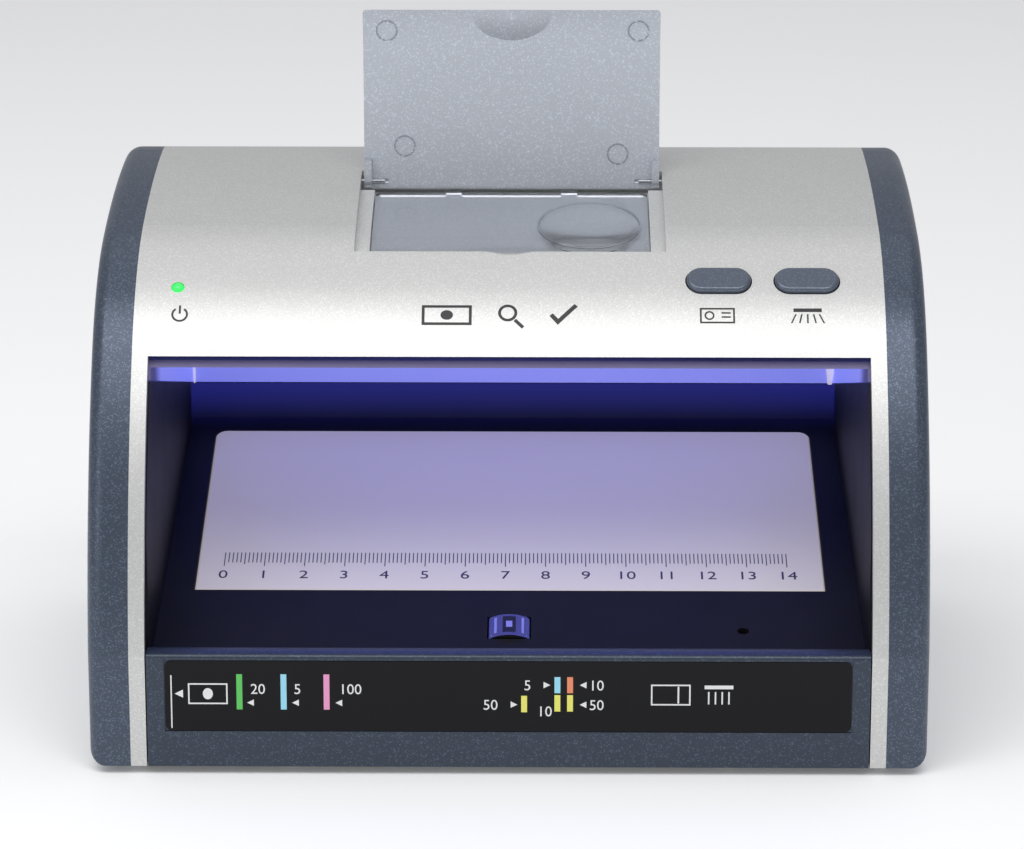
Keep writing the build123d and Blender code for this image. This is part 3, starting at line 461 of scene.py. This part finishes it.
signs = bmesh.new()
outline(signs, -15.0, 0.0, 12.0, 5.4, 0.7)
disc(signs, -15.0, 0.0, 3.0, 2.6)
ring(signs, -0.4, 0.6, 2.3, 1.6)
patch(signs, ((1.0, -1.6), (1.6, -1.0), (3.6, -3.0), (3.0, -3.6)))
patch(signs, ((9.6, -0.2), (11.6, -2.6), (16.4, 2.4), (15.6, 3.1), (11.7, -1.0), (10.4, 0.5)))
printed("bay_signs", signs, on_brow(0.0), black_ink, "housing")

sign = bmesh.new()
outline(sign, 0.0, 0.0, 8.4, 4.2, 0.45)
ring(sign, -1.9, 0.0, 1.2, 0.8)
bar(sign, 1.0, 0.5, 3.2, 0.9)
bar(sign, 1.0, -0.6, 3.2, -0.2)
printed("watermark_sign", sign, on_brow(49.8), black_ink, "housing")

sign = bmesh.new()
bar(sign, -3.4, 1.0, 3.4, 2.0)
for index in range(-2, 3):
    head, foot = index * 1.4, index * 1.95
    patch(sign, ((head - 0.2, 0.4), (foot - 0.2, -2.0), (foot + 0.2, -2.0), (head + 0.2, 0.4)))
printed("lamp_sign", sign, on_brow(71.4), black_ink, "housing")

sign = bmesh.new()
ring(sign, 0.0, 0.0, 2.0, 1.5, start=-235.0, turn=290.0)
bar(sign, -0.25, 0.2, 0.25, 2.5)
printed("power_sign", sign, on_brow(-79.0), black_ink, "housing")

# ------------------------------------------------------------------------------ front label
# Gloss black film stuck in the front panel's recess, printed with white and coloured inks.  Bars
# show where a note's glowing thread lies, each with its face value, between a sign for how the
# note goes in and signs for the thread and the lamp.
film, tree, surface = shader("label_film", (0.005, 0.005, 0.006), 0.24)
surface.inputs["Specular IOR Level"].default_value = 0.18
vary_roughness(tree, surface, 0.18, 0.30)
bump(tree, surface, noise(tree, 1200.0), 0.08, 0.02 * MM)
dress(film, "front_label")

label_low, label_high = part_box("front_label")
label_middle = (label_low.z + label_high.z) / 2
label_place = laid_on("front_label", 0.0, label_low.y, label_middle, (0.0, -1.0, 0.0))
white_ink = ink("white_ink", (0.75, 0.75, 0.75))
value_height = 2.6
face_values = (("20", -59.4, 1.8), ("5", -50.0, 1.8), ("100", -37.4, 1.8), ("5", 4.6, 2.9),
               ("10", 21.0, 2.9), ("50", -4.2, -2.0), ("10", 8.7, -3.6), ("50", 21.0, -2.0))
pointers = ((-60.4, -1.7, -1.6), (-49.7, -1.7, -1.6), (-39.4, -1.7, -1.6), (8.4, 2.9, 1.6),
            (18.6, 2.9, -1.6), (0.6, -2.0, 1.6), (18.6, -2.0, -1.6))
figures = bmesh.new()
bar(figures, -80.15, -8.1, -79.85, 5.1)
arrow(figures, -77.2, 0.5, -2.0)
outline(figures, -71.3, 0.5, 9.4, 5.2, 0.35)
disc(figures, -71.3, 0.5, 2.4, 2.8)
for text, x, y in face_values:
    numeral(figures, text, x, y, value_height)
for x, y, reach in pointers:
    arrow(figures, x, y, reach)
outline(figures, 38.6, 0.5, 9.4, 5.2, 0.35)
bar(figures, 40.2, -1.6, 40.6, 2.6)
bar(figures, 46.6, 2.0, 53.4, 2.9)
for index in range(4):
    foot = 47.6 + index * 1.6
    bar(figures, foot - 0.18, -1.8, foot + 0.18, 1.3)
printed("label_figures", figures, label_place, white_ink, "housing")
thread_bars = {
    "green": ((0.10, 0.52, 0.10), ((-64.5, -3.4, -63.1, 5.4),)),
    "sky": ((0.30, 0.66, 0.80), ((-54.0, -3.4, -52.6, 5.4), (11.0, 0.9, 12.4, 4.9))),
    "pink": ((0.76, 0.30, 0.52), ((-43.8, -3.4, -42.4, 5.4),)),
    "salmon": ((0.78, 0.24, 0.12), ((14.0, 0.9, 15.4, 4.9),)),
    "yellow": ((0.76, 0.74, 0.14),
               ((3.1, -3.9, 4.5, 0.2), (11.0, -3.7, 12.4, 0.4), (14.0, -3.7, 15.4, 0.4))),
}
for hue, (colour, stripes) in thread_bars.items():
    shape = bmesh.new()
    for stripe in stripes:
        bar(shape, *stripe)
    printed(hue + "_bars", shape, label_place, ink(hue + "_ink", colour), "housing")

# ------------------------------------------------------------------------------ rule on the watermark plate
# A fourteen-centimetre rule, screen-printed in dark violet ink on the plate's face along its front
# edge, to measure a note against.  Every fifth mark is longer, and every tenth longer still.
floor_slope = math.radians(16.0)
floor_normal = (0.0, -math.sin(floor_slope), math.cos(floor_slope))
plate_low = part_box("watermark_plate")[0]
plate_thickness = 3.0 * MM
plate_place = laid_on("watermark_plate", 0.0, plate_low.y + 0.8 * MM,
                      plate_low.z + plate_thickness + 0.1 * MM, floor_normal)
rule_zero, marks_top, half_mark = -71.2, 15.8, 0.12
figures_middle, figure_height = 6.0, 3.6
rule = bmesh.new()
for millimetre in range(141):
    length = 6.1 if millimetre % 10 == 0 else 5.3 if millimetre % 5 == 0 else 4.5
    x = rule_zero + millimetre
    bar(rule, x - half_mark, marks_top - length, x + half_mark, marks_top)
for centimetre in range(15):
    numeral(rule, str(centimetre), rule_zero + centimetre * 10, figures_middle, figure_height)
rule_ink = ink("rule_ink", (0.035, 0.030, 0.075))
printed("plate_rule", rule, plate_place, rule_ink, "housing")

# ------------------------------------------------------------------------------ read-head gap
# The head's crown is split by a dark, resin-filled gap, with the end of its metal core, bright with
# polish, standing in the middle of it.  Bright bars along the crown's two sides and its front edge
# are painted highlights.
head_low, head_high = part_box("magnetic_head")
head_place = laid_on("magnetic_head", 0.0, (head_low.y + head_high.y) / 2 - 1.5 * MM,
                     head_high.z - 1.0 * MM, floor_normal)
core_half_width, core_half_length, gap_half_length = 0.75, 1.3, 3.4
side_gap = 0.85
gap = bmesh.new()
for x in (-core_half_width - side_gap, core_half_width):
    bar(gap, x, -gap_half_length, x + side_gap, gap_half_length)
bar(gap, -core_half_width, -gap_half_length, core_half_width, -core_half_length)
bar(gap, -core_half_width, core_half_length, core_half_width, gap_half_length)
resin = moulding("head_gap", (0.010, 0.010, 0.011), 0.30)
printed("head_gap", gap, head_place, resin, "housing")
core = bmesh.new()
bar(core, -core_half_width, -core_half_length, core_half_width, core_half_length)
# Painted highlights: bars of bright metal along the crown's sides and, below, its front edge.
for x in (-3.6, 3.0):
    bar(core, x, -3.2, x + 0.6, 3.4)
bar(core, -4.3, -4.0, 4.3, -3.6)
polish_and_highlight = metal("head_polish_and_highlight", (0.92, 0.92, 0.90), 0.35, 2600.0)
printed("head_core_and_highlights", core, head_place, polish_and_highlight, "housing", 0.06 * MM)

# ------------------------------------------------------------------------------ hood corner strips
# Where the hood's back meets its two ends a pale strip stands in each corner, wide at the top and
# drawn down to a narrow foot at the rim: a painted highlight of the hood's inner corners, which
# glows though it is no lamp.


def tapered_strip(name, x, foot, width):
    """An upright half-round strip, foot wide at the bottom and width wide at the top."""
    low, high, y = 65.5 * MM, 76.0 * MM, 46.8 * MM
    shape = bmesh.new()
    place = Matrix.Translation((x, y, (low + high) / 2))
    bmesh.ops.create_cone(shape, cap_ends=True, segments=24, radius1=foot / 2,
                          radius2=width / 2, depth=high - low, matrix=place)
    geometry = shape.verts[:] + shape.edges[:] + shape.faces[:]
    bmesh.ops.bisect_plane(shape, geom=geometry, plane_co=(x, y, low), plane_no=(0, 1, 0),
                           dist=1e-7, clear_outer=True)
    bmesh.ops.holes_fill(shape, edges=[edge for edge in shape.edges if edge.is_boundary])
    bmesh.ops.recalc_face_normals(shape, faces=shape.faces)
    add_piece(name, shape, painted_highlight_strip, "housing")


painted_highlight_strip = moulding("painted_highlight_strip", (0.78, 0.76, 0.78), 0.40)
# Painted highlight: the strips give off an even glow of their own.
glow_evenly(painted_highlight_strip.node_tree.nodes["Principled BSDF"], (0.75, 0.70, 0.80), 0.45)
tapered_strip("right_corner_strip", 83.5 * MM, 1.2 * MM, 3.2 * MM)
tapered_strip("left_corner_strip", -83.9 * MM, 0.5 * MM, 1.0 * MM)

# ------------------------------------------------------------------------------ lens rim
# A fine step runs round the foot of the reading lens, moulded in one with the card and of the
# same clear acrylic.
card_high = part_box("magnifier_card")[1]
rim_place = laid_on("magnifier_card", 19.4 * MM, -9.0 * MM, card_high.z, (0.0, -0.16, 0.987))
rim = bmesh.new()
ring(rim, 0.0, 0.0, 12.9, 12.3, steps=72)
printed("lens_rim", rim, rim_place, acrylic, "housing", 0.18 * MM)

# ------------------------------------------------------------------------------ ejector marks on the lid
# Four faint rings stand on the lid's inner face, where the mould's round ejector pins pushed the
# moulding off.  They are coloured darker than the rest of the lid.
lid_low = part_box("lid")[0]
darker_ring_paint = metallic_paint("mould_witness", ground=(0.27, 0.29, 0.34), flake=(0.50, 0.54, 0.60),
                            size=0.30 * MM, share=0.20, roughness=0.30, metallic=0.55)
ring_places = ((-31.2, 40.34), (31.7, 40.34), (-26.9, 10.84), (26.7, 8.84))
for number, (x, up_lid) in enumerate(ring_places, 1):
    circle = bmesh.new()
    ring(circle, 0.0, 0.0, 2.75, 2.3)
    place = laid_on("lid", x * MM, lid_low.y, lid_low.z + up_lid * MM, (0.0, -1.0, 0.0))
    printed("ejector_mark_%d" % number, circle, place, darker_ring_paint, "lid",
            0.12 * MM)

# ------------------------------------------------------------------------------ camera, floor and light
# The unit stands on a plain pale card under large soft lights: a key above the front, a weak fill
# from the left and a top light from behind.  It is seen from the front and a little above.
stand_off, eye_height, sideways = 0.9742, 0.3271, 0.0093
pitch = math.radians(14.96)
camera_data = bpy.data.cameras.new("camera")
camera_data.sensor_width = 36.0
camera_data.lens = 140.6
camera_data.clip_end = 50.0
camera = bpy.data.objects.new("camera", camera_data)
bpy.context.scene.collection.objects.link(camera)
bpy.context.scene.camera = camera
camera.location = (sideways, -stand_off, eye_height)
sight = Vector((-sideways * math.cos(pitch), math.cos(pitch), -math.sin(pitch)))
camera.rotation_euler = sight.to_track_quat("-Z", "Y").to_euler()

floor_mesh = bpy.data.meshes.new("floor")
shape = bmesh.new()
bmesh.ops.create_grid(shape, x_segments=2, y_segments=2, size=12.0)
shape.to_mesh(floor_mesh)
shape.free()
floor = bpy.data.objects.new("floor", floor_mesh)
bpy.context.scene.collection.objects.link(floor)
floor_card, tree, surface = shader("floor_card", (0.94, 0.94, 0.94), 0.75)
glow_evenly(surface, (1.0, 1.0, 1.0), 0.12)
bump(tree, surface, noise(tree, 400.0, 3.0), 0.05, 0.05 * MM)
floor_mesh.materials.append(floor_card)


def soft_light(name, place, width, height, power):
    """A soft box aimed at the middle of the unit, in metres and watts."""
    middle = Vector((0.0, 0.0, 0.07))
    data = bpy.data.lights.new(name, "AREA")
    data.shape = "RECTANGLE"
    data.size, data.size_y, data.energy = width, height, power
    lamp = bpy.data.objects.new(name, data)
    bpy.context.scene.collection.objects.link(lamp)
    lamp.location = place
    lamp.rotation_euler = (middle - Vector(place)).to_track_quat("-Z", "Y").to_euler()


soft_light("key", (-0.15, -0.72, 1.30), 1.9, 0.8, 13.5)
soft_light("fill", (-1.10, -1.10, 0.60), 0.8, 0.8, 2.0)
soft_light("top", (0.0, 0.45, 1.45), 1.6, 0.9, 2.4)
world = bpy.data.worlds.new("studio")
world.use_nodes = True
world.node_tree.nodes["Background"].inputs["Color"].default_value = (0.95, 0.96, 1.0, 1.0)
world.node_tree.nodes["Background"].inputs["Strength"].default_value = 0.46
bpy.context.scene.world = world
bpy.context.scene.view_settings.view_transform = "Standard"
